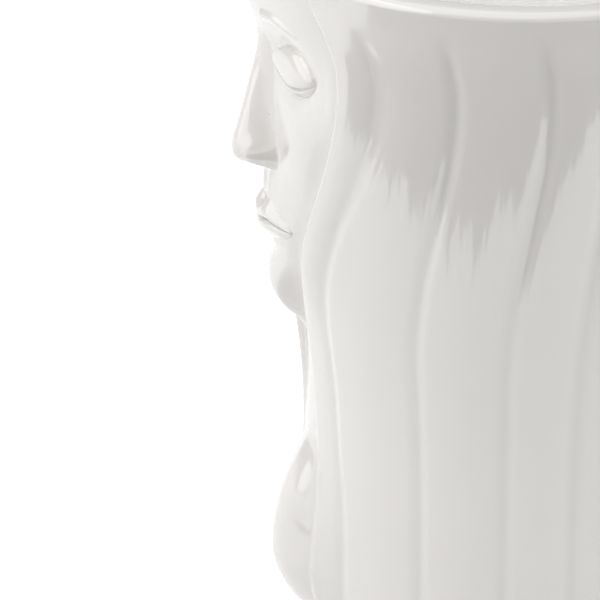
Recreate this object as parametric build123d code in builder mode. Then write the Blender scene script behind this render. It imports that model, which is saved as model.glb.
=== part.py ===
from build123d import *
from math import asin, cos, degrees, exp, radians, sin, sqrt
import os

os.makedirs("parts", exist_ok=True)

# Overall form, in millimetres
vase_height = 270
rim_radius = 98.2
waist_radius = 76.3
flare_drop = 6
flare_length = 184
base_tuck = 20
tuck_height = 27

# Walls and joints
vessel_wall = 3.4
hair_thickness = 5.6
joint_gap = 0.3
floor_thickness = 6
lip_height = 8
lip_crown = 1.2
lip_round = 2.2
foot_height = 4.3
foot_width = 13
foot_inset = 1.5
foot_round = 1.2

# Dish in the front of the vessel, behind the face
dish_depth = 14
dish_drop = 53
dish_length = 92

# Hair: angles of the lines between the locks, from the middle of the face round to the back
line_angles = [6, 19.5, 49.5, 73, 91, 110.5, 130, 149.5, 169]
line_swings = [28, 25.4, 12.8, 8.5, 4, 1.5, 0, 0, 0]
line_partings = [7, 4.2, 0.5, 0, 0, 0, 0, 0, 0]
lock_names = ["front", "cheek", "temple", "ear", "side", "rear", "crown", "nape"]
swing_top_drop = 33
swing_length = 113
face_swing_length = 124
swing_return = 0.27
parting_height = 95
groove_depth = 1
groove_width = 5.5
groove_fade = 16
lock_crown = 0.7

# Chest, fullest a little above the base; its crease under the neck runs out towards the locks
chest_depth = 13.6
chest_spread = 16
chest_middle = 32
chest_top = 78
chest_tuck = 0.8
crease_reach = 4
crease_fade = 10
chest_step = 1.2

# Face, on thirds: brow to nose base and nose base to chin are one third each
brow_drop = 24
face_third = 61
chin_to_neck = 7
face_step = 2.2
face_fullness = 4.5
face_spread = 24
eye_spacing = 24
eye_length = 31
eye_hollow = 6
hollow_width = 19
hollow_tall = 15
brow_ridge = 2.4
ridge_width = 34
ridge_tall = 9
cheek_depth = 1.8
cheek_rise = 17
cheek_width = 15
cheek_tall = 18
muzzle_depth = 3
muzzle_width = 21
muzzle_tall = 20
chin_depth = 8.5
chin_rise = 13
chin_width = 17
chin_tall = 14
chin_roll = 6
nose_depth = 13
nose_width = 23
mouth_width = 38
lip_depth = 3.4
lip_size = 8
lip_end = 1.8
lip_parting = 0.2
brow_depth = 2.2
brow_width = 6.5
brow_start = 8
brow_length = 30
brow_arch = 3.5
ridge_sink = 1.8
upper_lid = 11.5
lower_lid = 6.5
lid_end = 1.8
lid_depth = 5.2
lid_sink = 1.2
lash_sag = 3
lash_gap = 0.4

# Heights that follow from the sizes above
top_height = vase_height - lip_height
brow_height = vase_height - brow_drop
nose_base = brow_height - face_third
chin_height = nose_base - face_third
mouth_height = nose_base - face_third / 3
eye_height = brow_height - 0.3 * face_third
neck_top = chin_height - chin_to_neck
flare_top = vase_height - flare_drop
swing_top = vase_height - swing_top_drop


def smooth(t):
    t = min(max(t, 0), 1)
    return t * t * (3 - 2 * t)


def bell(distance, spread):
    return exp(-((distance / spread) ** 2))


# Plain cup without hair, chest or face
def cup_radius(z):
    flare = smooth((z - flare_top + flare_length) / flare_length)
    drop = min(max((tuck_height - z) / tuck_height, 0), 0.95)
    tuck = base_tuck * (1 - sqrt(1 - drop**2))
    return waist_radius + (rim_radius - waist_radius) * flare - tuck


# Share of the chest's depth at a height: whole at its middle, none at its top, less at the base
def chest_swell(angle, z):
    if z > chest_middle:
        above = min((z - chest_middle) / (chest_top - chest_middle), 1)
        soft = smooth((abs(angle) - crease_reach) / crease_fade)
        return (1 - soft) * (1 - above**2) + soft * (1 - smooth(above))
    below = (chest_middle - z) / chest_middle
    return 1 - chest_tuck * below**1.3


# Outer surface that hair and face lie on, fuller over the cheeks and the chest
def skin_radius(angle, z):
    chest = chest_depth * bell(angle, chest_spread) * chest_swell(angle, z)
    cheeks = face_fullness * bell(angle, face_spread) * bell(z - mouth_height, 0.48 * face_third)
    return cup_radius(z) + chest + cheeks


# How far the front lies behind the hair, more at the face than at the chest
def step_at(z):
    return chest_step + (face_step - chest_step) * smooth((z - chest_top) / (neck_top - chest_top))


def line_angle(number, z):
    length = face_swing_length if number == 0 else swing_length
    wave = smooth((z - swing_top + length) / length)
    wave = wave - swing_return * smooth((z - swing_top) / swing_top_drop)
    parting = 1 - smooth((z - 0.4 * parting_height) / (0.6 * parting_height))
    return line_angles[number] + line_swings[number] * wave + line_partings[number] * parting


# Face surface between the front locks, before nose, lips, lids and brows
def face_radius(angle, z):
    skin = skin_radius(angle, z)
    x = skin * sin(radians(angle))
    hollow = eye_hollow * bell(abs(x) - eye_spacing, hollow_width) * bell(z - eye_height, hollow_tall)
    brow = brow_ridge * bell(x, ridge_width) * bell(z - brow_height, ridge_tall)
    cheek = cheek_depth * bell(abs(x) - 1.3 * eye_spacing, cheek_width)
    cheek = cheek * bell(z - nose_base - cheek_rise, cheek_tall)
    muzzle = muzzle_depth * bell(x, muzzle_width) * bell(z - mouth_height, muzzle_tall)
    over = smooth((z - neck_top) / (chin_to_neck + chin_roll))
    chin = chin_depth * bell(x, chin_width) * bell(z - chin_height - chin_rise, chin_tall) * over
    return skin - step_at(z) - hollow + brow + cheek + muzzle + chin


def polar(angle, radius):
    return (radius * sin(radians(angle)), -radius * cos(radians(angle)))


def gap_angle(radius):
    return degrees(0.5 * joint_gap / radius)


# One level of a luted piece: a spline outside, straight walls and a straight back inside the vessel
def panel_face(points, z):
    back = cup_radius(z) - hair_thickness - 1.4 * dish_depth
    with BuildSketch(Plane.XY.offset(z)) as level:
        with BuildLine():
            outside = Spline([polar(angle, radius) for angle, radius in points])
            Line(outside @ 1, polar(points[-1][0], back))
            Line(polar(points[-1][0], back), polar(points[0][0], back))
            Line(polar(points[0][0], back), outside @ 0)
        make_face()
    return level.sketch


def lock_points(number, z):
    first = line_angle(number, z) + gap_angle(cup_radius(z))
    last = 360 - first
    if number + 1 < len(line_angles):
        last = line_angle(number + 1, z) - gap_angle(cup_radius(z))
    width = radians(last - first) * cup_radius(z)
    groove = min(groove_width, 0.3 * width)
    depth = groove_depth * smooth((top_height - z) / groove_fade)
    points = []
    for part in (0, 0.35 * groove / width, groove / width, 0.5):
        dip = depth * (1 - smooth(part * width / groove)) - lock_crown * smooth(2 * part)
        points.append((part, dip))
    for part, dip in points[2::-1]:
        points.append((1 - part, dip))
    angles = [first + part * (last - first) for part, dip in points]
    return [(a, skin_radius(a, z) - dip) for a, (part, dip) in zip(angles, points)]


def front_points(surface, z, count):
    edge = line_angle(0, z) - gap_angle(cup_radius(z))
    angles = [edge * (2 * i / count - 1) for i in range(count + 1)]
    return [(angle, surface(angle, z)) for angle in angles]


def levels_between(low, high, step):
    count = max(3, round((high - low) / step))
    return [low + (high - low) * i / count for i in range(count + 1)]


base_level = foot_height + joint_gap
panel_top = top_height - joint_gap
low_levels = [base_level, 0.6 * base_level + 0.4 * tuck_height]

# Vessel outline and the room that the luted pieces leave for it
dish_height = vase_height - dish_drop
dish_front = cup_radius(dish_height) - hair_thickness - dish_depth
dish_radius = ((dish_length / 2) ** 2 + dish_depth**2) / (2 * dish_depth)


def vessel_outline(inset, bottom, top):
    levels = [bottom, 0.5 * (bottom + tuck_height)] + levels_between(tuck_height, top, 22)
    with BuildSketch(Plane.XZ) as outline:
        with BuildLine():
            wall = Spline([(cup_radius(z) - inset, z) for z in levels])
            Polyline(wall @ 1, (0, top), (0, bottom), wall @ 0)
        make_face()
    return outline.sketch


def dish_plane():
    lean = (cup_radius(dish_height + 20) - cup_radius(dish_height - 20)) / 40
    ahead = dish_front + dish_radius
    return Plane(origin=(0, -ahead, dish_height - lean * dish_radius), z_dir=(1, 0, 0))


def dish_cut(grow):
    with BuildSketch(dish_plane().offset(-1.5 * rim_radius)) as disc:
        Circle(dish_radius + grow)
    extrude(disc.sketch, amount=3 * rim_radius, mode=Mode.SUBTRACT)


with BuildPart() as keep_out:
    revolve(vessel_outline(hair_thickness, 0, vase_height), axis=Axis.Z)
    dish_cut(-joint_gap)

with BuildPart() as cavity:
    inset = hair_thickness + joint_gap + vessel_wall
    revolve(vessel_outline(inset, base_level + floor_thickness, vase_height), axis=Axis.Z)
    dish_cut(vessel_wall)

with BuildPart() as inner_vessel:
    revolve(vessel_outline(hair_thickness + joint_gap, base_level, top_height), axis=Axis.Z)
    dish_cut(0)
    add(cavity.part, mode=Mode.SUBTRACT)
inner_vessel.part.label = "inner_vessel"
export_step(inner_vessel.part, "parts/inner_vessel.step")

# Foot ring under the floor
foot_radius = cup_radius(base_level) - hair_thickness - joint_gap - foot_inset
with BuildPart() as foot_ring:
    with BuildSketch():
        Circle(foot_radius)
        Circle(foot_radius - foot_width, mode=Mode.SUBTRACT)
    extrude(amount=foot_height)
    chamfer(foot_ring.edges().group_by(Axis.Z)[0], length=foot_round)
foot_ring.part.label = "foot_ring"
export_step(foot_ring.part, "parts/foot_ring.step")

# Lip over the wall, domed on top and rounded at its two edges
lip_outer = cup_radius(top_height)
lip_inner = cup_radius(top_height) - hair_thickness - joint_gap - vessel_wall
lip_shoulder = vase_height - lip_crown
with BuildPart() as mouth_rim:
    with BuildSketch(Plane.XZ) as lip_section:
        with BuildLine():
            seat = top_height + joint_gap
            Polyline(
                (lip_inner, lip_shoulder),
                (lip_inner, seat),
                (lip_outer, seat),
                (lip_outer, lip_shoulder),
            )
            ThreePointArc(
                (lip_outer, lip_shoulder),
                (0.5 * (lip_outer + lip_inner), vase_height),
                (lip_inner, lip_shoulder),
            )
        make_face()
        fillet(lip_section.vertices().group_by(Axis.Y)[-1], radius=lip_round)
    revolve(axis=Axis.Z)
mouth_rim.part.label = "mouth_rim"
export_step(mouth_rim.part, "parts/mouth_rim.step")

# Hair locks, made on the left side and mirrored to the right
lock_levels = low_levels + levels_between(tuck_height, panel_top, 19.5)
for number, lock_name in enumerate(lock_names):
    with BuildPart() as left_lock:
        loft([panel_face(lock_points(number, z), z) for z in lock_levels])
        add(keep_out.part, mode=Mode.SUBTRACT)
    left_lock.part.label = "left_" + lock_name + "_lock"
    export_step(left_lock.part, "parts/left_" + lock_name + "_lock.step")
    with BuildPart() as right_lock:
        mirror(left_lock.part, about=Plane.YZ)
    right_lock.part.label = "right_" + lock_name + "_lock"
    export_step(right_lock.part, "parts/right_" + lock_name + "_lock.step")

with BuildPart() as back_lock:
    loft([panel_face(lock_points(len(lock_names), z), z) for z in lock_levels])
    add(keep_out.part, mode=Mode.SUBTRACT)
back_lock.part.label = "back_lock"
export_step(back_lock.part, "parts/back_lock.step")


# Chest and neck between the front locks
def strip_radius(angle, z):
    return skin_radius(angle, z) - step_at(z)


with BuildPart() as chest:
    chest_levels = low_levels + levels_between(tuck_height, chest_top, 12)
    loft([panel_face(front_points(strip_radius, z, 6), z) for z in chest_levels])
    add(keep_out.part, mode=Mode.SUBTRACT)
chest.part.label = "chest"
export_step(chest.part, "parts/chest.step")

with BuildPart() as neck:
    neck_levels = levels_between(chest_top + joint_gap, neck_top - joint_gap, 12)
    loft([panel_face(front_points(strip_radius, z, 6), z) for z in neck_levels])
    add(keep_out.part, mode=Mode.SUBTRACT)
neck.part.label = "neck"
export_step(neck.part, "parts/neck.step")

# Face slab
with BuildPart() as face_mask:
    face_levels = levels_between(neck_top, panel_top, 9)
    loft([panel_face(front_points(face_radius, z, 14), z) for z in face_levels])
    add(keep_out.part, mode=Mode.SUBTRACT)
face_mask.part.label = "face_mask"
export_step(face_mask.part, "parts/face_mask.step")


# Depth of the face in front of the axis at a place seen from the front
def face_depth(x, z):
    radius = skin_radius(0, z)
    for step in range(6):
        radius = face_radius(degrees(asin(x / radius)), z)
    return sqrt(radius**2 - x**2)


# Nose: level sections from the root between the eyes to the base
nose_root = eye_height + 0.1 * face_third
nose_tip = nose_base + 0.14 * face_third
nose_levels = [
    (nose_base, 0.96, 0.62),
    (nose_tip, 1.0, 1.0),
    (0.55 * nose_tip + 0.45 * nose_root, 0.72, 0.72),
    (0.2 * nose_tip + 0.8 * nose_root, 0.5, 0.42),
    (nose_root, 0.42, 0.26),
]
with BuildPart() as nose:
    for z, wide, high in nose_levels:
        half = 0.5 * nose_width * wide
        ridge = 0.3 * half
        front = face_depth(0, z) + nose_depth * high
        side = face_depth(half, z)
        with BuildSketch(Plane.XY.offset(z)):
            with BuildLine():
                Polyline((-ridge, 0.9 - front), (-half, -side), (-half, 4 - side), (half, 4 - side))
                Polyline((half, 4 - side), (half, -side), (ridge, 0.9 - front))
                ThreePointArc((ridge, 0.9 - front), (0, -front), (-ridge, 0.9 - front))
            make_face()
    loft()
    add(face_mask.part, mode=Mode.SUBTRACT)
nose.part.label = "nose"
export_step(nose.part, "parts/nose.step")


# Rounded strip across the face, from upright sections. Each section gives its place, its lower and
# upper edge, its height and the share of that height at the two edges. Its back sinks into the face.
def ridge_strip(stations, sink):
    sections = []
    for x, low, high, height, low_share, high_share in stations:
        crest = low + (high - low) * (0.5 + 0.4 * (high_share - low_share))
        with BuildSketch(Plane(origin=(x, 0, 0), x_dir=(0, -1, 0), z_dir=(-1, 0, 0))) as section:
            with BuildLine():
                bow = ThreePointArc(
                    (face_depth(x, high) + high_share * height, high),
                    (face_depth(x, crest) + height, crest),
                    (face_depth(x, low) + low_share * height, low),
                )
                back = face_depth(x, crest) - sink
                Polyline(bow @ 1, (back, low), (back, high), bow @ 0)
            make_face()
        sections.append(section.sketch)
    loft(sections)
    add(face_mask.part, mode=Mode.SUBTRACT)


def lip_stations(side):
    stations = []
    for step in range(-4, 5):
        place = step / 4
        full = 1 - place**2
        tall = lip_end + (lip_size - lip_end) * full**0.8
        edge = mouth_height + side * lip_parting
        far = mouth_height + side * tall
        height = lip_depth * (0.3 + 0.7 * full)
        shares = (0.6, 0.12) if side > 0 else (0.12, 0.6)
        stations.append((0.5 * mouth_width * place, min(edge, far), max(edge, far), height, *shares))
    return stations


with BuildPart() as upper_lip:
    ridge_strip(lip_stations(1), ridge_sink)
upper_lip.part.label = "upper_lip"
export_step(upper_lip.part, "parts/upper_lip.step")

with BuildPart() as lower_lip:
    ridge_strip(lip_stations(-1), ridge_sink)
lower_lip.part.label = "lower_lip"
export_step(lower_lip.part, "parts/lower_lip.step")

# Brows, arched over the eyes and tapered outwards
with BuildPart() as left_brow:
    brow_stations = []
    for step in range(7):
        along = step / 6
        x = brow_start + along * brow_length
        middle = brow_height - brow_arch * (2 * along - 0.9) ** 2
        half = 0.5 * brow_width * (1 - 0.6 * along**2)
        height = brow_depth * (1 - 0.5 * along**2)
        brow_stations.append((x, middle - half, middle + half, height, 0.15, 0.15))
    ridge_strip(brow_stations, ridge_sink)
left_brow.part.label = "left_brow"
export_step(left_brow.part, "parts/left_brow.step")
with BuildPart() as right_brow:
    mirror(left_brow.part, about=Plane.YZ)
right_brow.part.label = "right_brow"
export_step(right_brow.part, "parts/right_brow.step")


# Closed lids: an upper and a lower strip that meet along the lash line
def lid_stations(side, lid_size):
    stations = []
    for step in range(-4, 5):
        place = step / 4
        full = 1 - place**2
        lash = eye_height - lash_sag * full + 0.5 * side * lash_gap
        far = lash + side * (lid_end + (lid_size - lid_end) * full**0.8)
        height = lid_depth * (0.25 + 0.75 * full)
        shares = (0.85, 0.1) if side > 0 else (0.1, 0.7)
        x = eye_spacing + 0.5 * eye_length * place
        stations.append((x, min(lash, far), max(lash, far), height, *shares))
    return stations


with BuildPart() as left_upper_eyelid:
    ridge_strip(lid_stations(1, upper_lid), lid_sink)
with BuildPart() as left_lower_eyelid:
    ridge_strip(lid_stations(-1, lower_lid), lid_sink)
left_upper_eyelid.part.label = "left_upper_eyelid"
export_step(left_upper_eyelid.part, "parts/left_upper_eyelid.step")
left_lower_eyelid.part.label = "left_lower_eyelid"
export_step(left_lower_eyelid.part, "parts/left_lower_eyelid.step")
with BuildPart() as right_upper_eyelid:
    mirror(left_upper_eyelid.part, about=Plane.YZ)
right_upper_eyelid.part.label = "right_upper_eyelid"
export_step(right_upper_eyelid.part, "parts/right_upper_eyelid.step")
with BuildPart() as right_lower_eyelid:
    mirror(left_lower_eyelid.part, about=Plane.YZ)
right_lower_eyelid.part.label = "right_lower_eyelid"
export_step(right_lower_eyelid.part, "parts/right_lower_eyelid.step")
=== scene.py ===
from math import asin, cos, degrees, exp, pi, radians, sin, sqrt

import bmesh
import bpy
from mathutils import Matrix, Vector


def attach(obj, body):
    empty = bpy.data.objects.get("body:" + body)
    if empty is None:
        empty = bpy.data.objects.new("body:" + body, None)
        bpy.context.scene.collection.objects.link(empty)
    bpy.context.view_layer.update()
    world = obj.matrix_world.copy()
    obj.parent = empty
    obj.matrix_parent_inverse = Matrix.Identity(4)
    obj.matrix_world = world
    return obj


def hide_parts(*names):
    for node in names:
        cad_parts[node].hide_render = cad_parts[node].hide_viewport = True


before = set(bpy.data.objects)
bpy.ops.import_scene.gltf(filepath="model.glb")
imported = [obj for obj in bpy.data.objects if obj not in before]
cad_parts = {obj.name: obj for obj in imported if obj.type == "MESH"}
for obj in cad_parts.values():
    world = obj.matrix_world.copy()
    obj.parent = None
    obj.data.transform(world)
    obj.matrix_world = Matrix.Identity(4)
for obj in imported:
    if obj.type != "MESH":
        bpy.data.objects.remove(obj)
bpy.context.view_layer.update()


def smooth(t):
    t = min(max(t, 0.0), 1.0)
    return t * t * (3 - 2 * t)


def bell(distance, spread):
    return exp(-((distance / spread) ** 2))


def mound(depth, across, up, size):  # a soft swelling, with its half width and half height
    return depth * bell(across, size[0]) * bell(up, size[1])


def around(angle, radius, z):  # angle in degrees from the middle of the face
    return Vector((radius * sin(radians(angle)), -radius * cos(radians(angle)), z))


def crowd(t, amount):  # moves rows or columns towards both ends of a patch
    return t - amount * sin(2 * pi * t) / (2 * pi)


# the cup under the hair, in metres
cup = {
    "top": 0.262,
    "bottom": 0.0046,
    "rimRadius": 0.0982,
    "waistRadius": 0.0763,
    "flareTop": 0.264,
    "flareLength": 0.184,
    "baseTuck": 0.020,
    "tuckHeight": 0.027,
    "tuckLimit": 0.95,
    "edgeRound": 0.002,
    "hairThickness": 0.0056,
    "wall": 0.0034,
    "gap": 0.0003,
}


def cupRadius(z):
    flare = smooth((z - cup["flareTop"] + cup["flareLength"]) / cup["flareLength"])
    drop = min(max((cup["tuckHeight"] - z) / cup["tuckHeight"], 0), cup["tuckLimit"])
    tuck = cup["baseTuck"] * (1 - sqrt(1 - drop**2))
    return cup["waistRadius"] + (cup["rimRadius"] - cup["waistRadius"]) * flare - tuck


def edgeTurn(z):  # the bottom edge is rounded, as glaze leaves it
    low = min(max((cup["bottom"] + cup["edgeRound"] - z) / cup["edgeRound"], 0), 1)
    return cup["edgeRound"] * (1 - sqrt(1 - low**2))


# the rounded form at the foot of the front; spread, creaseReach and creaseFade are degrees
chest = {
    "depth": 0.0136,
    "spread": 16,
    "middle": 0.032,
    "top": 0.078,
    "arch": 0.0004,
    "fillet": 0.07,
    "creaseReach": 4,
    "creaseFade": 10,
    "tuck": 0.8,
    "tuckBend": 1.3,
}


def chestSwell(angle, z):  # whole at the chest's middle, none at its top, less at the base
    if z <= chest["middle"]:
        return 1 - chest["tuck"] * ((chest["middle"] - z) / chest["middle"]) ** chest["tuckBend"]
    top = chest["top"] - chest["arch"] * abs(angle)
    above = (z - chest["middle"]) / (top - chest["middle"])
    arched = 1 - above**2
    arched = 0.5 * (arched + sqrt(arched**2 + chest["fillet"] ** 2))  # rounds the crease
    atLocks = smooth((abs(angle) - chest["creaseReach"]) / chest["creaseFade"])
    return (1 - atLocks) * arched + atLocks * (1 - smooth(above))


# finishes
# the darker mixing colour is thicker glaze, and on the pieces it also serves as painted shade in grooves and creases
glazeLook = {
    "body": (0.85, 0.828, 0.80, 1),
    "pooledShade": (0.81, 0.79, 0.765, 1),
    "speck": (0.46, 0.44, 0.42, 1),
}
# inside, the darker mixing colour only follows the cloudy thickness of the glaze; no shade is painted there
insideLook = {
    "body": (0.90, 0.895, 0.885, 1),
    "pooledShade": (0.87, 0.865, 0.855, 1),
    "speck": (0.34, 0.32, 0.3, 1),
}
glazeForm = {
    "ior": 1.58,
    "coatRoughness": 0.04,
    "cloudScale": 17,
    "cloudDetail": 3,
    "cloudFrom": 0.35,
    "cloudTo": 0.75,
    "cloudPool": 0.35,
    "holeScale": 110,
    "holeEdge": 0.028,
    "holeCore": 0.012,
    "holeRarity": 0.72,
    "holeHeight": -0.08,
    "dullScale": 48,
    "dullDetail": 2,
    "leastRough": 0.07,
    "mostRough": 0.2,
    "waveScale": 34,
    "waveDetail": 1,
    "waveHeight": 0.32,
    "rippleScale": 190,
    "rippleDetail": 2,
    "rippleHeight": 0.022,
    "heightUnit": 0.001,
}
footLook = {
    "clay": (0.76, 0.72, 0.65, 1),
    "worn": (0.62, 0.58, 0.52, 1),
    "ior": 1.45,
    "grainScale": 900,
    "grainDetail": 4,
    "grainHeight": 0.0001,
    "patchScale": 42,
    "leastRough": 0.72,
    "mostRough": 0.95,
}


def addNode(tree, kind, place, inputs=None, **values):
    node = tree.nodes.new(kind)
    node.location = place
    for name, value in values.items():
        setattr(node, name, value)
    for socket, value in (inputs or {}).items():
        node.inputs[socket].default_value = value
    return node


def glazeGroup():
    form = glazeForm
    group = bpy.data.node_groups.new("glazeSurface", "ShaderNodeTree")
    vector, number, colour = "NodeSocketVector", "NodeSocketFloat", "NodeSocketColor"
    takes = {"Vector": vector, "PoolShade": number, "Body": colour, "PooledShade": colour, "Speck": colour}
    gives = {"Color": colour, "Roughness": number, "Height": number}
    for direction, sockets in (("INPUT", takes), ("OUTPUT", gives)):
        for name, kind in sockets.items():
            group.interface.new_socket(name=name, in_out=direction, socket_type=kind)
    link = group.links.new
    given = addNode(group, "NodeGroupInput", (-1200, 0))
    result = addNode(group, "NodeGroupOutput", (900, 0))

    # cloudy differences in the glaze's thickness, and in the grooves and creases thicker glaze with painted shade
    # a colour mix takes its colours at sockets 6 and 7 and gives its own at socket 2
    cloud = addNode(group, "ShaderNodeTexNoise", (-900, 300),
                    {"Scale": form["cloudScale"], "Detail": form["cloudDetail"]})
    cloudShare = addNode(group, "ShaderNodeMapRange", (-700, 300),
                         {"From Min": form["cloudFrom"], "From Max": form["cloudTo"], "To Max": form["cloudPool"]})
    deep = addNode(group, "ShaderNodeMath", (-500, 200), operation="ADD", use_clamp=True)
    tintAndShade = addNode(group, "ShaderNodeMix", (-300, 200), data_type="RGBA")
    link(given.outputs["Vector"], cloud.inputs["Vector"])
    link(cloud.outputs["Fac"], cloudShare.inputs["Value"])
    link(cloudShare.outputs["Result"], deep.inputs[0])
    link(given.outputs["PoolShade"], deep.inputs[1])
    link(deep.outputs[0], tintAndShade.inputs[0])
    link(given.outputs["Body"], tintAndShade.inputs[6])
    link(given.outputs["PooledShade"], tintAndShade.inputs[7])

    # a few pinholes, each a fraction of a millimetre
    holes = addNode(group, "ShaderNodeTexVoronoi", (-900, -100), {"Scale": form["holeScale"]})
    holeSize = addNode(group, "ShaderNodeMapRange", (-700, -100),
                       {"From Min": form["holeEdge"], "From Max": form["holeCore"]}, interpolation_type="SMOOTHSTEP")
    holePick = addNode(group, "ShaderNodeSeparateColor", (-700, -320))
    holeRare = addNode(group, "ShaderNodeMath", (-500, -320), {1: form["holeRarity"]}, operation="GREATER_THAN")
    hole = addNode(group, "ShaderNodeMath", (-300, -150), operation="MULTIPLY")
    speck = addNode(group, "ShaderNodeMix", (100, 150), data_type="RGBA")
    link(given.outputs["Vector"], holes.inputs["Vector"])
    link(holes.outputs["Distance"], holeSize.inputs["Value"])
    link(holes.outputs["Color"], holePick.inputs[0])
    link(holePick.outputs[0], holeRare.inputs[0])
    link(holeSize.outputs["Result"], hole.inputs[0])
    link(holeRare.outputs[0], hole.inputs[1])
    link(hole.outputs[0], speck.inputs[0])
    link(tintAndShade.outputs[2], speck.inputs[6])
    link(given.outputs["Speck"], speck.inputs[7])
    link(speck.outputs[2], result.inputs["Color"])

    # gloss that dulls a little in patches
    dull = addNode(group, "ShaderNodeTexNoise", (-900, -560),
                   {"Scale": form["dullScale"], "Detail": form["dullDetail"]})
    dullShare = addNode(group, "ShaderNodeMapRange", (-300, -560),
                        {"To Min": form["leastRough"], "To Max": form["mostRough"]})
    link(given.outputs["Vector"], dull.inputs["Vector"])
    link(dull.outputs["Fac"], dullShare.inputs["Value"])
    link(dullShare.outputs["Result"], result.inputs["Roughness"])

    # slow waves from the casting, finer ripples, pinholes; in millimetres
    wave = addNode(group, "ShaderNodeTexNoise", (-900, -820),
                   {"Scale": form["waveScale"], "Detail": form["waveDetail"]})
    ripple = addNode(group, "ShaderNodeTexNoise", (-900, -1060),
                     {"Scale": form["rippleScale"], "Detail": form["rippleDetail"]})
    waveHigh = addNode(group, "ShaderNodeMath", (-600, -820), {1: form["waveHeight"]}, operation="MULTIPLY")
    rippleHigh = addNode(group, "ShaderNodeMath", (-600, -1060), {1: form["rippleHeight"]},
                         operation="MULTIPLY_ADD")
    holeDeep = addNode(group, "ShaderNodeMath", (-300, -900), {1: form["holeHeight"]}, operation="MULTIPLY_ADD")
    for field in (wave, ripple):
        link(given.outputs["Vector"], field.inputs["Vector"])
    link(wave.outputs["Fac"], waveHigh.inputs[0])
    link(ripple.outputs["Fac"], rippleHigh.inputs[0])
    link(waveHigh.outputs[0], rippleHigh.inputs[2])
    link(hole.outputs[0], holeDeep.inputs[0])
    link(rippleHigh.outputs[0], holeDeep.inputs[2])
    link(holeDeep.outputs[0], result.inputs["Height"])
    return group


glazeSurface = glazeGroup()


def glazeMaterial(name, look):
    material = bpy.data.materials.new(name)
    material.use_nodes = True
    tree = material.node_tree
    link = tree.links.new
    glaze = tree.nodes["Principled BSDF"]
    glaze.inputs["IOR"].default_value = glazeForm["ior"]
    glaze.inputs["Coat Weight"].default_value = 1
    glaze.inputs["Coat Roughness"].default_value = glazeForm["coatRoughness"]
    glaze.inputs["Coat IOR"].default_value = glazeForm["ior"]
    where = addNode(tree, "ShaderNodeTexCoord", (-900, 0))
    # the vertex share of glaze pooling and painted shade in grooves and creases
    poolShade = addNode(tree, "ShaderNodeAttribute", (-900, -260), attribute_name="poolShade")
    surface = addNode(tree, "ShaderNodeGroup", (-560, 0), node_tree=glazeSurface)
    surface.inputs["Body"].default_value = look["body"]
    surface.inputs["PooledShade"].default_value = look["pooledShade"]
    surface.inputs["Speck"].default_value = look["speck"]
    bump = addNode(tree, "ShaderNodeBump", (-260, -260), {"Strength": 1, "Distance": glazeForm["heightUnit"]})
    link(where.outputs["Object"], surface.inputs["Vector"])
    link(poolShade.outputs["Fac"], surface.inputs["PoolShade"])
    link(surface.outputs["Color"], glaze.inputs["Base Color"])
    link(surface.outputs["Roughness"], glaze.inputs["Roughness"])
    link(surface.outputs["Height"], bump.inputs["Height"])
    link(bump.outputs["Normal"], glaze.inputs["Normal"])
    return material


def footMaterial():
    material = bpy.data.materials.new("bareFoot")
    material.use_nodes = True
    tree = material.node_tree
    link = tree.links.new
    clay = tree.nodes["Principled BSDF"]
    clay.inputs["IOR"].default_value = footLook["ior"]
    where = addNode(tree, "ShaderNodeTexCoord", (-1100, 0))
    grain = addNode(tree, "ShaderNodeTexNoise", (-850, 100),
                    {"Scale": footLook["grainScale"], "Detail": footLook["grainDetail"]})
    patch = addNode(tree, "ShaderNodeTexNoise", (-850, -200), {"Scale": footLook["patchScale"]})
    share = addNode(tree, "ShaderNodeMath", (-600, 0), operation="MULTIPLY")
    tone = addNode(tree, "ShaderNodeMix", (-350, 0), {6: footLook["clay"], 7: footLook["worn"]}, data_type="RGBA")
    rough = addNode(tree, "ShaderNodeMapRange", (-350, -250),
                    {"To Min": footLook["leastRough"], "To Max": footLook["mostRough"]})
    bump = addNode(tree, "ShaderNodeBump", (-350, -500), {"Distance": footLook["grainHeight"]})
    for field in (grain, patch):
        link(where.outputs["Object"], field.inputs["Vector"])
    link(grain.outputs["Fac"], share.inputs[0])
    link(patch.outputs["Fac"], share.inputs[1])
    link(share.outputs[0], tone.inputs[0])
    link(tone.outputs[2], clay.inputs["Base Color"])
    link(grain.outputs["Fac"], rough.inputs["Value"])
    link(rough.outputs["Result"], clay.inputs["Roughness"])
    link(grain.outputs["Fac"], bump.inputs["Height"])
    link(bump.outputs["Normal"], clay.inputs["Normal"])
    return material


whiteGlaze = glazeMaterial("whiteGlaze", glazeLook)
insideGlaze = glazeMaterial("insideGlaze", insideLook)
bareFoot = footMaterial()
print("finishes: white glaze, inside glaze, bare foot")


def keepPiece(bm, name, material, node):
    mesh = bpy.data.meshes.new(name)
    bm.to_mesh(mesh)
    bm.free()
    mesh.materials.append(material)
    piece = bpy.data.objects.new(name, mesh)
    bpy.context.scene.collection.objects.link(piece)
    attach(piece, "root")
    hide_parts(node)
    return piece


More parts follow.
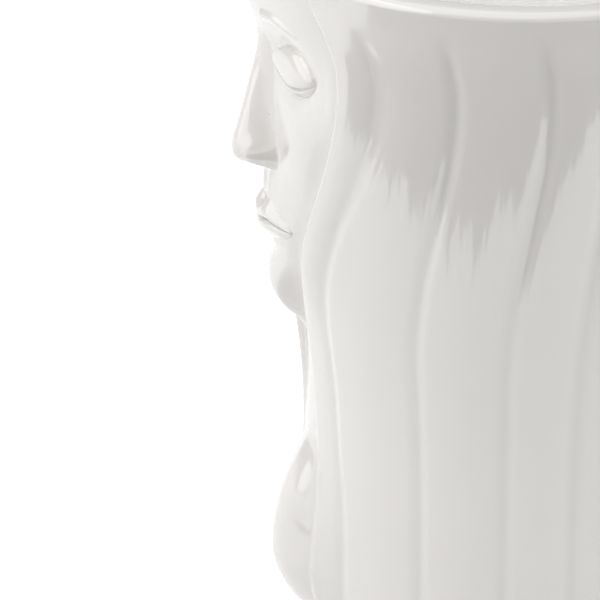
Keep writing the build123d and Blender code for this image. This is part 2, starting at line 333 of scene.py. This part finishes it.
# A clay piece as a closed shell: a grid bent to its outside, pushed back for its thickness.
# outside(u, v) gives a point and its share of glaze pooling and painted shade, inside(u, v) gives a point.
def clayShell(name, node, columns, rows, outside, inside):
    bm = bmesh.new()
    bmesh.ops.create_grid(bm, x_segments=columns, y_segments=rows, size=1)
    # a vertex share that darkens grooves and creases: glaze pooling and painted shade
    poolShade = bm.verts.layers.float.new("poolShade")
    front = bm.verts[:]
    pushed = bmesh.ops.extrude_face_region(bm, geom=bm.faces[:])
    back = [part for part in pushed["geom"] if isinstance(part, bmesh.types.BMVert)]
    for vert in front:
        vert.co, vert[poolShade] = outside(0.5 + 0.5 * vert.co.x, 0.5 + 0.5 * vert.co.y)
    for vert in back:
        vert.co = inside(0.5 + 0.5 * vert.co.x, 0.5 + 0.5 * vert.co.y)
    bmesh.ops.recalc_face_normals(bm, faces=bm.faces)
    frontSet = set(front)
    for patch in bm.faces:
        patch.smooth = True
    for edge in bm.edges:  # sharp only where the front or the back meets the side walls
        sides = [sum(vert in frontSet for vert in near.verts) for near in edge.link_faces]
        edge.smooth = len(sides) == 2 and sides[0] == sides[1]
    return keepPiece(bm, name, whiteGlaze, node)


# the face's heights and broad forms, in metres; the eyes are closed and at rest
# each Size is a half width and a half height, with degrees for the width of fullSize
face = {
    "brow": 0.246,
    "eyes": 0.2277,
    "noseBase": 0.185,
    "mouth": 0.16467,
    "chin": 0.124,
    "neckTop": 0.117,
    "step": 0.0022,
    "lowStep": 0.0004,
    "fullness": 0.0045,
    "fullSize": (24, 0.0293),
    "eyeSpacing": 0.024,
    "hollowDepth": 0.006,
    "hollowSize": (0.019, 0.015),
    "ridgeDepth": 0.0024,
    "ridgeSize": (0.034, 0.009),
    "cheekDepth": 0.0018,
    "cheekOut": 1.3,
    "cheekRise": 0.017,
    "cheekSize": (0.015, 0.018),
    "muzzleDepth": 0.003,
    "muzzleSize": (0.021, 0.020),
    "chinDepth": 0.0085,
    "chinRise": 0.013,
    "chinSize": (0.017, 0.014),
    "jawRise": 0.006,
    "creaseDepth": 0.0013,
    "creaseDrop": 0.0135,
    "creaseSize": (0.015, 0.0042),
    "philtrumDepth": 0.0006,
    "philtrumRise": 0.0125,
    "philtrumSize": (0.0021, 0.0055),
    "bankShare": 0.6,
    "bankOut": 0.004,
    "bankWidth": 0.002,
    "edgeFade": 0.008,
    "backOff": 0.004,
    "widest": 0.95,
    "rounds": 5,
    "columns": 96,
    "rows": 150,
}


def skinRadius(angle, z):
    swell = chest["depth"] * bell(angle, chest["spread"]) * chestSwell(angle, z)
    cheeks = mound(face["fullness"], angle, z - face["mouth"], face["fullSize"])
    return cupRadius(z) + swell + cheeks - edgeTurn(z)


# hair: one entry for each line between the locks, from the middle of the face to the back
# angles, swings and partings are degrees, the rest metres and shares
hair = {
    "names": ["Front", "Cheek", "Temple", "Ear", "Side", "Rear", "Crown", "Nape"],
    "angles": [6, 19.5, 49.5, 73, 91, 110.5, 130, 149.5, 169],
    "swings": [28, 25.4, 12.8, 8.5, 4, 1.5, 0, 0, 0],
    "partings": [7, 4.2, 0.5, 0, 0, 0, 0, 0, 0],
    "grooves": [0.0009, 0.0004, 0.0009, 0.0009, 0.0009, 0.0009, 0.0009, 0.0009, 0.0009],
    "softRuns": [0, 1, 0, 0, 0, 0, 0, 0, 0],
    "swingTop": 0.237,
    "swingDrop": 0.033,
    "swingLength": 0.113,
    "faceSwingLength": 0.124,
    "swingReturn": 0.27,
    "partingHeight": 0.095,
    "partingWhole": 0.4,
    "lowGroove": 0.0005,
    "grooveFrom": 0.13,
    "grooveOver": 0.09,
    "softFrom": 0.17,
    "softOver": 0.05,
    "edgeLift": 0.44,
    "edgeRun": 0.012,
    "frontRun": 0.0044,
    "rearRun": 0.0050,
    "faceRun": 0.003,
    "widestRun": 0.4,
    "fade": 0.016,
    "crown": 0.0007,
    "crownOver": 0.04,
    "crowdUp": 0.55,
    "crowdAcross": 0.45,
    "columns": 34,
    "rows": 150,
}


def lineAngle(number, z):
    length = hair["faceSwingLength"] if number == 0 else hair["swingLength"]
    wave = smooth((z - hair["swingTop"] + length) / length)
    wave -= hair["swingReturn"] * smooth((z - hair["swingTop"]) / hair["swingDrop"])
    whole = hair["partingWhole"]
    parting = 1 - smooth((z - whole * hair["partingHeight"]) / ((1 - whole) * hair["partingHeight"]))
    return hair["angles"][number] + hair["swings"][number] * wave + hair["partings"][number] * parting


def rimFade(z):  # grooves and steps run out under the rim
    return smooth((cup["top"] - z) / hair["fade"])


def stepAt(z):  # the face lies deeper behind the hair than the chest does
    deeper = smooth((z - chest["top"]) / (face["neckTop"] - chest["top"]))
    return (face["lowStep"] + (face["step"] - face["lowStep"]) * deeper) * rimFade(z)


def grooveAt(number, z):  # each groove has its own depth in the flare, and all the same lower down
    inFlare = smooth((z - hair["grooveFrom"]) / hair["grooveOver"])
    return (hair["lowGroove"] + (hair["grooves"][number] - hair["lowGroove"]) * inFlare) * rimFade(z)


def hairLock(name, node, number, side):
    last = len(hair["angles"]) - 1

    def spread(u, v):
        z = cup["bottom"] + (cup["top"] - cup["bottom"]) * crowd(v, hair["crowdUp"])
        first = lineAngle(number, z)
        second = lineAngle(number + 1, z) if number < last else 360 - first
        return first, second, crowd(u, hair["crowdAcross"]), z

    def outside(u, v):
        first, second, along, z = spread(u, v)
        angle = first + (second - first) * along
        width = radians(second - first) * cupRadius(z)
        fade = rimFade(z)
        soft = smooth((z - hair["softFrom"]) / hair["softOver"])
        frontRun = hair["frontRun"] * (1 + hair["softRuns"][number] * soft)
        frontDepth = grooveAt(number, z)
        crown = hair["crown"] * fade * smooth(2 * min(along, 1 - along))
        if number == 0:  # the lock along the face, flat beside the neck
            frontRun = hair["faceRun"]
            frontDepth = stepAt(z)
            crown *= smooth((z - face["neckTop"]) / hair["crownOver"])
        rearRun = hair["frontRun"] if number == last else hair["rearRun"]
        rearDepth = grooveAt(min(number + 1, last), z)
        widest = hair["widestRun"] * width
        ahead = 1 - smooth(along * width / min(frontRun, widest))
        behind = 1 - smooth((1 - along) * width / min(rearRun, widest))
        edge = smooth((along * width - frontRun) / hair["edgeRun"])
        crown += hair["edgeLift"] * grooveAt(number, z) * (1 - ahead) * (1 - edge)
        radius = skinRadius(angle, z) - frontDepth * ahead - rearDepth * behind + crown
        # the second value darkens the grooves between the locks: glaze pooling and painted shade
        return around(side * angle, radius, z), max(ahead, behind) ** 2 * fade

    def inside(u, v):
        first, second, along, z = spread(u, v)
        angle = first + (second - first) * along
        return around(side * angle, cupRadius(z) - cup["hairThickness"], z)

    return clayShell(name, node, hair["columns"], hair["rows"], outside, inside)


for number, lockName in enumerate(hair["names"]):
    for side, sideName in ((1, "left"), (-1, "right")):
        hairLock(sideName + lockName + "Lock", sideName + "_" + lockName.lower() + "_lock", number, side)
hairLock("backLock", "back_lock", len(hair["names"]), 1)
print("hair: 17 locks")


# face surface between the front locks, and the strip of neck and chest below it
def faceRadius(angle, z):
    skin = skinRadius(angle, z)
    x = skin * sin(radians(angle))
    aside, eye = abs(x), face["eyeSpacing"]
    hollow = mound(face["hollowDepth"], aside - eye, z - face["eyes"], face["hollowSize"])
    ridge = mound(face["ridgeDepth"], x, z - face["brow"], face["ridgeSize"])
    cheekUp = z - face["noseBase"] - face["cheekRise"]
    cheek = mound(face["cheekDepth"], aside - face["cheekOut"] * eye, cheekUp, face["cheekSize"])
    muzzle = mound(face["muzzleDepth"], x, z - face["mouth"], face["muzzleSize"])
    jaw = smooth((z - face["neckTop"]) / (face["chin"] - face["neckTop"] + face["jawRise"]))
    chin = mound(face["chinDepth"], x, z - face["chin"] - face["chinRise"], face["chinSize"]) * jaw
    crease = mound(face["creaseDepth"], x, z - face["mouth"] + face["creaseDrop"], face["creaseSize"])
    width, height = face["philtrumSize"]
    banks = face["bankShare"] * bell(aside - face["bankOut"], face["bankWidth"])
    philtrum = face["philtrumDepth"] * (bell(x, width) - banks)
    philtrum *= bell(z - face["mouth"] - face["philtrumRise"], height)
    forms = ridge + cheek + muzzle + chin - hollow - crease - philtrum
    inward = radians(lineAngle(0, z) - abs(angle)) * skin
    return skin - stepAt(z) + forms * smooth(inward / face["edgeFade"])


def stripRadius(angle, z):
    return skinRadius(angle, z) - stepAt(z)


# the strips' share darkens their edges beside the locks: painted shade with glaze pooling
strips = {"poolShade": 0.6, "poolShadeBend": 6, "thinnest": 0.002, "columns": 36, "chestRows": 64, "neckRows": 32}


def frontStrip(name, node, low, high, columns, rows, surface, backOff):
    def spread(u, v):
        z = low + (high - low) * v
        return lineAngle(0, z) * (2 * u - 1), z

    def outside(u, v):
        angle, z = spread(u, v)
        nearEdge = max(0.0, 2 * abs(2 * u - 1) - 1)
        return around(angle, surface(angle, z), z), strips["poolShade"] * nearEdge ** strips["poolShadeBend"]

    def inside(u, v):
        angle, z = spread(u, v)
        return around(angle, min(surface(angle, z) - strips["thinnest"], cupRadius(z) - backOff), z)

    return clayShell(name, node, columns, rows, outside, inside)


frontStrip("chest", "chest", cup["bottom"], chest["top"], strips["columns"], strips["chestRows"], stripRadius,
           cup["hairThickness"])
frontStrip("neck", "neck", chest["top"], face["neckTop"], strips["columns"], strips["neckRows"], stripRadius,
           cup["hairThickness"])
frontStrip("faceMask", "face_mask", face["neckTop"], cup["top"], face["columns"], face["rows"], faceRadius,
           cup["hairThickness"] + face["backOff"])
print("front: chest, neck and face")


def faceDepth(x, z):  # how far the face stands in front of the axis, settled in a few rounds
    radius = skinRadius(0, z)
    for settling in range(face["rounds"]):
        aside = max(-face["widest"], min(face["widest"], x / radius))
        radius = faceRadius(degrees(asin(aside)), z)
    return sqrt(radius**2 - x**2)


def onFace(x, z, lift):
    return Vector((x, -faceDepth(x, z) - lift, z))


def through(points, t):  # a smooth curve through a short list of points
    place = min(max(t, 0.0), 1.0) * (len(points) - 1)
    index = min(int(place), len(points) - 2)
    part = place - index
    before, start, end, after = (points[min(max(index + k, 0), len(points) - 1)] for k in (-1, 0, 1, 2))
    values = []
    for a, b, c, d in zip(before, start, end, after):
        bend = (2 * a - 5 * b + 4 * c - d) * part + (3 * b - a - 3 * c + d) * part**2
        values.append(b + 0.5 * part * (c - a + bend))
    return values


def sunk(outside, depth):  # the back of a small piece, let into the face
    def inside(u, v):
        place = outside(u, v)[0]
        return onFace(place.x, place.z, -depth)
    return inside


# nose: ridge line as height and lift, wing line as half width and height, in millimetres
# each At and Size is a share of the way across and of the way down
nose = {
    "ridge": [(237, -0.3), (229, 1.9), (219, 5.0), (208, 8.3), (199, 11.3), (193.5, 12.9), (189.4, 12.6),
              (186.8, 10.4), (185.6, 6.9), (184.8, 3.2), (183.4, -0.3)],
    "wing": [(7.0, 238), (7.4, 229), (8.6, 219), (10.2, 208), (12.2, 199), (13.2, 193), (13.0, 188.6),
             (11.2, 185.8), (8.6, 184.2), (6.2, 183.4), (4.6, 182.6)],
    "section": 0.8,
    "tipSection": 0.15,
    "tipAt": 0.52,
    "tipSize": 0.16,
    "wingSwell": 3.4,
    "wingAt": (0.62, 0.6),
    "wingSize": (0.2, 0.13),
    "nostril": 2.0,
    "nostrilAt": (0.44, 0.79),
    "nostrilSize": (0.17, 0.075),
    "seamDepth": 0.3,
    "seamOver": 0.12,
    "poolShade": 0.25,
    "poolShadeAt": 0.92,
    "poolShadeOver": 0.1,
    "back": 0.0016,
    "columns": 44,
    "rows": 70,
}


def noseOutside(u, v):
    across, down = 2 * u - 1, 1 - v
    aside = abs(across)
    z, lift = through(nose["ridge"], down)
    half, wingZ = through(nose["wing"], down)
    bend = nose["section"] - nose["tipSection"] * bell(down - nose["tipAt"], nose["tipSize"])
    section = (0.5 + 0.5 * cos(pi * across)) ** bend
    wingOut, wingDown = nose["wingAt"]
    swell = mound(nose["wingSwell"], aside - wingOut, down - wingDown, nose["wingSize"]) * (1 - across**2)
    nostrilOut, nostrilDown = nose["nostrilAt"]
    dent = mound(nose["nostril"], aside - nostrilOut, down - nostrilDown, nose["nostrilSize"])
    z += (wingZ - z) * across**2 + dent
    lift = lift * section + swell
    if lift > 0:
        lift -= nose["seamDepth"] * (1 - smooth((1 - aside) / nose["seamOver"]))
    # darker along the nose's edge where it meets the face: painted shade with glaze pooling
    poolShade = nose["poolShade"] * bell(aside - nose["poolShadeAt"], nose["poolShadeOver"])
    return onFace(0.001 * half * across, 0.001 * z, 0.001 * lift), poolShade


clayShell("nose", "nose", nose["columns"], nose["rows"], noseOutside, sunk(noseOutside, nose["back"]))

# lips that meet along a waved line
lips = {
    "width": 0.038,
    "height": 0.0082,
    "cornerHeight": 0.0005,
    "heightBend": 0.8,
    "lift": 0.0034,
    "cornerLift": 0.22,
    "edgeLift": 0.1,
    "crest": 0.3,
    "bow": 0.0013,
    "bowWidth": 0.003,
    "peak": 0.45,
    "peakOut": 0.0052,
    "lineRise": 0.0007,
    "riseOut": 0.008,
    "riseWidth": 0.005,
    "lineDip": 0.0005,
    "dipWidth": 0.004,
    "lineGap": 0.00002,
    "edgeSink": 0.0005,
    "edgeOver": 0.2,
    "lineSink": 0.0004,
    "lineOver": 0.12,
    "poolShade": 0.8,
    "poolShadeOver": 0.15,
    "back": 0.0016,
    "columns": 56,
    "rows": 26,
}


def lipLine(x):
    rise = lips["lineRise"] * bell(abs(x) - lips["riseOut"], lips["riseWidth"])
    return face["mouth"] + rise - lips["lineDip"] * bell(x, lips["dipWidth"])


def lipOutside(side):
    def outside(u, v):
        along = 2 * u - 1
        x = 0.5 * lips["width"] * along
        full = 1 - along**2
        tall = lips["cornerHeight"] + (lips["height"] - lips["cornerHeight"]) * full ** lips["heightBend"]
        if side > 0:
            peaks = lips["peak"] * bell(abs(x) - lips["peakOut"], lips["bowWidth"])
            tall += lips["bow"] * (peaks - bell(x, lips["bowWidth"])) * full
        away = v if side > 0 else 1 - v  # 0 at the mouth line, 1 at the outer edge
        z = lipLine(x) + side * (tall * away + lips["lineGap"])
        crest = lips["crest"]
        if away < crest:
            roll = sqrt(1 - ((crest - away) / crest) ** 2)
        else:
            roll = 1 - smooth((away - crest) / (1 - crest))
        corner, edge = lips["cornerLift"], lips["edgeLift"]
        lift = lips["lift"] * (corner + (1 - corner) * full) * (edge + (1 - edge) * roll)
        atEdge = smooth((away - (1 - lips["edgeOver"])) / lips["edgeOver"])
        lift -= lips["edgeSink"] * atEdge + lips["lineSink"] * (1 - smooth(away / lips["lineOver"]))
        # darker along the line between the lips: painted shade with glaze pooling
        return onFace(x, z, lift), lips["poolShade"] * (1 - smooth(away / lips["poolShadeOver"]))
    return outside


for side, name in ((1, "upper"), (-1, "lower")):
    bend = lipOutside(side)
    clayShell(name + "Lip", name + "_lip", lips["columns"], lips["rows"], bend, sunk(bend, lips["back"]))

# closed lids over the round of the eye
lids = {
    "length": 0.031,
    "upper": 0.0128,
    "lower": 0.0052,
    "cornerHeight": 0.0006,
    "heightBend": 0.8,
    "sag": 0.0043,
    "lift": 0.0054,
    "cornerLift": 0.12,
    "liftBend": 0.7,
    "domeBend": 0.8,
    "lashStep": 0.0017,
    "lashOver": 0.5,
    "lashBend": 0.4,
    "edgeSink": 0.0004,
    "edgeOver": 0.15,
    "cornerSink": 0.0003,
    "cornerBend": 0.3,
    "poolShadeOver": 0.15,
    "back": 0.001,
    "columns": 52,
    "rows": 30,
}


def lidOutside(side, upper):
    whole = lids["upper"] + lids["lower"]
    middle = (lids["upper"] - lids["lower"]) / whole
    tallest = lids["upper"] if upper else lids["lower"]

    def outside(u, v):
        along = 2 * u - 1
        full = 1 - along**2
        x = face["eyeSpacing"] + 0.5 * lids["length"] * along
        lash = face["eyes"] - lids["sag"] * full
        tall = lids["cornerHeight"] + (tallest - lids["cornerHeight"]) * full ** lids["heightBend"]
        away = v if upper else 1 - v  # 0 at the lashes, 1 at the outer edge
        z = lash + (tall * away if upper else -tall * away)
        height = 2 * away * tallest / whole + (-middle if upper else middle)
        dome = max(0.0, 1 - height**2) ** lids["domeBend"]
        corner = lids["cornerLift"]
        lift = lids["lift"] * (corner + (1 - corner) * full ** lids["liftBend"]) * dome
        if not upper:
            lift -= lids["lashStep"] * (1 - smooth(away / lids["lashOver"])) * full ** lids["lashBend"]
        atEdge = smooth((away - (1 - lids["edgeOver"])) / lids["edgeOver"])
        lift -= lids["edgeSink"] * atEdge + lids["cornerSink"] * (1 - full ** lids["cornerBend"])
        # darker along the lashes: painted shade with glaze pooling
        return onFace(side * x, z, lift), 1 - smooth(away / lids["poolShadeOver"])
    return outside


for side, sideName in ((1, "left"), (-1, "right")):
    for upper, lidName in ((True, "Upper"), (False, "Lower")):
        bend = lidOutside(side, upper)
        node = sideName + "_" + lidName.lower() + "_eyelid"
        clayShell(sideName + lidName + "Eyelid", node, lids["columns"], lids["rows"], bend, sunk(bend, lids["back"]))

# brows, soft ridges that thin out towards the temples
brows = {
    "start": 0.008,
    "length": 0.030,
    "width": 0.0072,
    "narrowing": 0.6,
    "lift": 0.0021,
    "flattening": 0.5,
    "arch": 0.0035,
    "archShift": 0.9,
    "startOver": 0.2,
    "endOver": 0.3,
    "sink": 0.0003,
    "back": 0.0014,
    "columns": 48,
    "rows": 20,
}


def browOutside(side):
    def outside(u, v):
        x = brows["start"] + brows["length"] * u
        middle = face["brow"] - brows["arch"] * (2 * u - brows["archShift"]) ** 2
        half = 0.5 * brows["width"] * (1 - brows["narrowing"] * u**2)
        across = 2 * v - 1
        ends = smooth(u / brows["startOver"]) * smooth((1 - u) / brows["endOver"])
        lift = brows["lift"] * (1 - brows["flattening"] * u**2) * ends * (0.5 + 0.5 * cos(pi * across))
        return onFace(side * x, middle + half * across, lift - brows["sink"]), 0.0
    return outside


for side, sideName in ((1, "left"), (-1, "right")):
    bend = browOutside(side)
    clayShell(sideName + "Brow", sideName + "_brow", brows["columns"], brows["rows"], bend, sunk(bend, brows["back"]))
print("face: nose, lips, lids and brows")


# turned pieces: a profile of a few points spun about the axis
turning = {"merge": 0.00001, "sharpAngle": 40}


def turned(name, node, profile, material, steps, closed):
    bm = bmesh.new()
    verts = [bm.verts.new((radius, 0, z)) for radius, z in profile]
    edges = [bm.edges.new(pair) for pair in zip(verts, verts[1:])]
    if closed:
        edges.append(bm.edges.new((verts[-1], verts[0])))
    bmesh.ops.spin(bm, geom=verts + edges, axis=(0, 0, 1), cent=(0, 0, 0), steps=steps, angle=2 * pi,
                   use_merge=True)
    bmesh.ops.remove_doubles(bm, verts=bm.verts, dist=turning["merge"])
    bmesh.ops.recalc_face_normals(bm, faces=bm.faces)
    for patch in bm.faces:
        patch.smooth = True
    for edge in bm.edges:
        edge.smooth = edge.calc_face_angle(0) < radians(turning["sharpAngle"])
    return keepPiece(bm, name, material, node)


# the lip falls in a curve to a crisp outer edge and rounds over to the inside
lip = {
    "low": 0.2620,
    "edge": 0.2674,
    "high": 0.270,
    "bend": 4,
    "edgeRound": 0.0003,
    "inside": 0.0026,
    "wallShares": (0, 0.5, 0.95, 1),
    "points": 10,
    "steps": 180,
}


def rimProfile():
    outer = cupRadius(lip["low"])
    inner = outer - cup["hairThickness"] - cup["gap"] - cup["wall"]
    top = inner + lip["inside"]
    tall = lip["edge"] - lip["edgeRound"] - lip["low"]
    steps = [step / lip["points"] for step in range(lip["points"] + 1)]
    profile = [(outer, lip["low"] + tall * share) for share in lip["wallShares"]]
    for step in steps:
        radius = outer - lip["edgeRound"] * (1 - step) - (outer - top) * step
        fall = max(0.0, (radius - top) / (outer - top)) ** lip["bend"]
        profile.append((radius, lip["high"] - (lip["high"] - lip["edge"]) * fall))
    for turn in (0.5 * pi * step for step in steps[1:]):
        profile.append((top - lip["inside"] * sin(turn), lip["high"] - lip["inside"] * (1 - cos(turn))))
    return profile + [(inner, lip["low"])]


turned("mouthRim", "mouth_rim", rimProfile(), whiteGlaze, lip["steps"], True)

foot = {"outer": 0.0601, "inner": 0.0471, "height": 0.0043, "round": 0.0014, "points": 5, "steps": 120}


def footProfile():
    turns = [0.5 * pi * step / foot["points"] for step in range(foot["points"] + 1)]
    low = foot["round"]
    profile = [(foot["outer"], foot["height"])]
    profile += [(foot["outer"] - low + low * cos(turn), low - low * sin(turn)) for turn in turns]
    profile += [(foot["inner"] + low - low * sin(turn), low - low * cos(turn)) for turn in turns]
    return profile + [(foot["inner"], foot["height"])]


turned("footRing", "foot_ring", footProfile(), bareFoot, foot["steps"], True)

# inner vessel: wall and floor, dished in behind the face
vessel = {
    "floor": 0.006,
    "corner": 0.008,
    "floorShares": (0.75, 0.5, 0.25, 0),
    "dishDepth": 0.014,
    "dishHeight": 0.217,
    "dishLength": 0.092,
    "dishSoft": 0.004,
    "leanSpan": 0.02,
    "outerShare": 0.4,
    "farOut": 1,
    "rows": 56,
    "steps": 160,
}


def vesselProfile():
    bottom, top = cup["bottom"], cup["top"]
    floor = bottom + vessel["floor"]
    offset = cup["hairThickness"] + cup["gap"]
    rows = [step / vessel["rows"] for step in range(vessel["rows"] + 1)]
    profile = [(0, bottom)]
    profile += [(cupRadius(z) - offset, z) for z in (bottom + (top - bottom) * row for row in rows)]
    for z in (top + (floor - top) * row for row in rows):
        near = min(1.0, max(0.0, 1 - (z - floor) / vessel["corner"]))
        turn = vessel["corner"] * (1 - sqrt(1 - near**2))
        profile.append((cupRadius(z) - offset - cup["wall"] - turn, z))
    end = profile[-1][0]
    return profile + [(end * share, floor) for share in vessel["floorShares"]]


def dishFront(z, extra):  # where the dish holds the wall back, in front of the axis
    deep, height, span = vessel["dishDepth"], vessel["dishHeight"], vessel["leanSpan"]
    radius = ((0.5 * vessel["dishLength"]) ** 2 + deep**2) / (2 * deep)
    front = cupRadius(height) - cup["hairThickness"] - deep
    lean = (cupRadius(height + span) - cupRadius(height - span)) / (2 * span)
    rise = z - height + lean * radius
    reach = (radius + extra) ** 2 - rise**2
    return front + radius - sqrt(reach) if reach > 0 else vessel["farOut"]


innerVessel = turned("innerVessel", "inner_vessel", vesselProfile(), insideGlaze, vessel["steps"],
                     False)
soft = vessel["dishSoft"]
for vert in innerVessel.data.vertices:
    z = vert.co.z
    outer = cupRadius(z) - cup["hairThickness"] - cup["gap"]
    isOuter = vert.co.xy.length > outer - vessel["outerShare"] * cup["wall"]
    hold = dishFront(z, 0 if isOuter else cup["wall"])
    over = -vert.co.y - hold
    if over > -soft:
        vert.co.y += over if over > soft else (over + soft) ** 2 / (4 * soft)
print("vessel: wall, rim and foot")


# studio: pale floor, soft boxes, and a grey card that only reflections see
# each Seen is a strength for the camera, each Shine one for reflections
studio = {
    "floorSize": 14,
    "floor": (0.8, 0.8, 0.8, 1),
    "floorSeen": 0.65,
    "floorShine": 0.45,
    "paperRough": 0.9,
    "skyColour": (1, 0.985, 0.965, 1),
    "skySeen": 1.05,
    "skyShine": 0.55,
    "sky": 0.2,
    "card": (0.10, 0.095, 0.09, 1),
    "cardHigh": 0.002,
    "cardDeep": 0.8,
    "cardPoint": 32,
    "cardTip": 0.001,
    "cardTurn": 20,
    "cardLeft": 77,
    "cardRight": 80,
    "cardNear": 0.285,
    "cardSpread": 0.32,
    "cardCurve": 75,
    "cardRag": 0.012,
    "cardWaves": [(0.31, 0), (0.83, 1), (1.7, 2)],
    "cardSteps": 120,
}
view = {
    "azimuth": 75,
    "elevation": 23.7,
    "distance": 1.8,
    "lens": 300.9,
    "sensor": 36,
    "farEnd": 60,
    "left": 0.0775,
    "down": 0.0126,
    "target": 0.135,
}


def rayLevel(tree, seen, shine, other):  # one strength for the camera, one for reflections, one for the rest
    rays = addNode(tree, "ShaderNodeLightPath", (-700, 200))
    glossy = addNode(tree, "ShaderNodeMapRange", (-450, 100), {"To Min": other, "To Max": shine})
    level = addNode(tree, "ShaderNodeMapRange", (-250, 100), {"To Max": seen})
    tree.links.new(rays.outputs["Is Glossy Ray"], glossy.inputs["Value"])
    tree.links.new(glossy.outputs["Result"], level.inputs["To Min"])
    tree.links.new(rays.outputs["Is Camera Ray"], level.inputs["Value"])
    return level.outputs["Result"]


def plainMesh(name, size, steps=1):
    bm = bmesh.new()
    bmesh.ops.create_grid(bm, x_segments=steps, y_segments=1, size=0.5 * size)
    mesh = bpy.data.meshes.new(name)
    bm.to_mesh(mesh)
    bm.free()
    plain = bpy.data.objects.new(name, mesh)
    bpy.context.scene.collection.objects.link(plain)
    return plain


def paperMaterial(name, colour):
    material = bpy.data.materials.new(name)
    material.use_nodes = True
    paper = material.node_tree.nodes["Principled BSDF"]
    paper.inputs["Base Color"].default_value = colour
    paper.inputs["Roughness"].default_value = studio["paperRough"]
    return material, paper


floor = plainMesh("floor", studio["floorSize"])
floorPaint, paper = paperMaterial("floorPaint", studio["floor"])
paper.inputs["Specular IOR Level"].default_value = 0
paper.inputs["Emission Color"].default_value = (1, 1, 1, 1)
tree = floorPaint.node_tree
level = rayLevel(tree, studio["floorSeen"], studio["floorShine"], 0)
tree.links.new(level, paper.inputs["Emission Strength"])
floor.data.materials.append(floorPaint)

turn = radians(view["azimuth"])
toCamera = Vector((sin(turn), -cos(turn), 0))
toRight = Vector((cos(turn), sin(turn), 0))

# the card lies as a crescent round the vase, nearest a little left of the camera,
# with a ragged edge and a pointed left end
card = plainMesh("greyCard", 1, studio["cardSteps"])
for vert in card.data.vertices:
    across = (studio["cardLeft"] + studio["cardRight"]) * (vert.co.x + 0.5) - studio["cardRight"]
    swing = across - studio["cardTurn"]
    away = radians(across)
    near = studio["cardNear"] + studio["cardSpread"] * (1 - bell(swing, studio["cardCurve"]))
    near += studio["cardRag"] * sum(sin(wave * swing + start) for wave, start in studio["cardWaves"])
    deep = studio["cardDeep"] * smooth((studio["cardLeft"] - across) / studio["cardPoint"])
    reach = near if vert.co.y < 0 else near + deep + studio["cardTip"]
    vert.co = reach * (toCamera * cos(away) - toRight * sin(away)) + Vector((0, 0, studio["cardHigh"]))
cardPaint, paper = paperMaterial("cardPaint", studio["card"])
card.data.materials.append(cardPaint)
card.visible_camera = False
card.visible_diffuse = False
card.visible_shadow = False

# a soft box has a width in metres and a spread in degrees, the sun only an angle in degrees
softBoxes = [
    {"name": "leftBox", "kind": "AREA", "side": -1.5, "near": 0.4, "high": 1.0, "size": 2.2, "beam": 180,
     "power": 18.5, "aimNear": 0, "aimHigh": 0.15},
    {"name": "rightBox", "kind": "AREA", "side": 1.5, "near": 0.4, "high": 1.0, "size": 2.2, "beam": 180,
     "power": 15.3, "aimNear": 0, "aimHigh": 0.15},
    {"name": "overhead", "kind": "SUN", "side": -0.12, "near": 0.1, "high": 1.0, "angle": 70,
     "power": 0.95, "aimNear": 0, "aimHigh": 0.15},
    {"name": "insideBeam", "kind": "AREA", "side": 0, "near": 0.6, "high": 1.2, "size": 0.13, "beam": 8,
     "power": 0.026, "aimNear": -0.09, "aimHigh": 0.22},
]
for box in softBoxes:
    lamp = bpy.data.lights.new(box["name"], box["kind"])
    if box["kind"] == "SUN":
        lamp.angle = radians(box["angle"])
    else:
        lamp.shape = "DISK"
        lamp.size = box["size"]
        lamp.spread = radians(box["beam"])
    lamp.energy = box["power"]
    light = bpy.data.objects.new(box["name"], lamp)
    light.location = toRight * box["side"] + toCamera * box["near"] + Vector((0, 0, box["high"]))
    light.rotation_mode = "QUATERNION"
    target = toCamera * box["aimNear"] + Vector((0, 0, box["aimHigh"]))
    light.rotation_quaternion = (target - light.location).to_track_quat("-Z", "Y")
    bpy.context.scene.collection.objects.link(light)

world = bpy.data.worlds.new("studioAir")
world.use_nodes = True
tree = world.node_tree
sky = tree.nodes["Background"]
sky.inputs["Color"].default_value = studio["skyColour"]
level = rayLevel(tree, studio["skySeen"], studio["skyShine"], studio["sky"])
tree.links.new(level, sky.inputs["Strength"])
bpy.context.scene.world = world

lens = bpy.data.cameras.new("photoCamera")
lens.lens = view["lens"]
lens.sensor_width = view["sensor"]
lens.clip_end = view["farEnd"]
camera = bpy.data.objects.new("photoCamera", lens)
lift = radians(view["elevation"])
back = toCamera * cos(lift) + Vector((0, 0, sin(lift)))
up = Vector((0, 0, cos(lift))) - toCamera * sin(lift)
middle = Vector((0, 0, view["target"]))
camera.location = middle + back * view["distance"]
aim = middle - toRight * view["left"] - up * view["down"]
camera.rotation_mode = "QUATERNION"
camera.rotation_quaternion = (aim - camera.location).to_track_quat("-Z", "Y")
bpy.context.scene.collection.objects.link(camera)
bpy.context.scene.camera = camera
bpy.context.scene.view_settings.view_transform = "Standard"
print("studio: floor, soft boxes and camera")

bpy.context.view_layer.update()
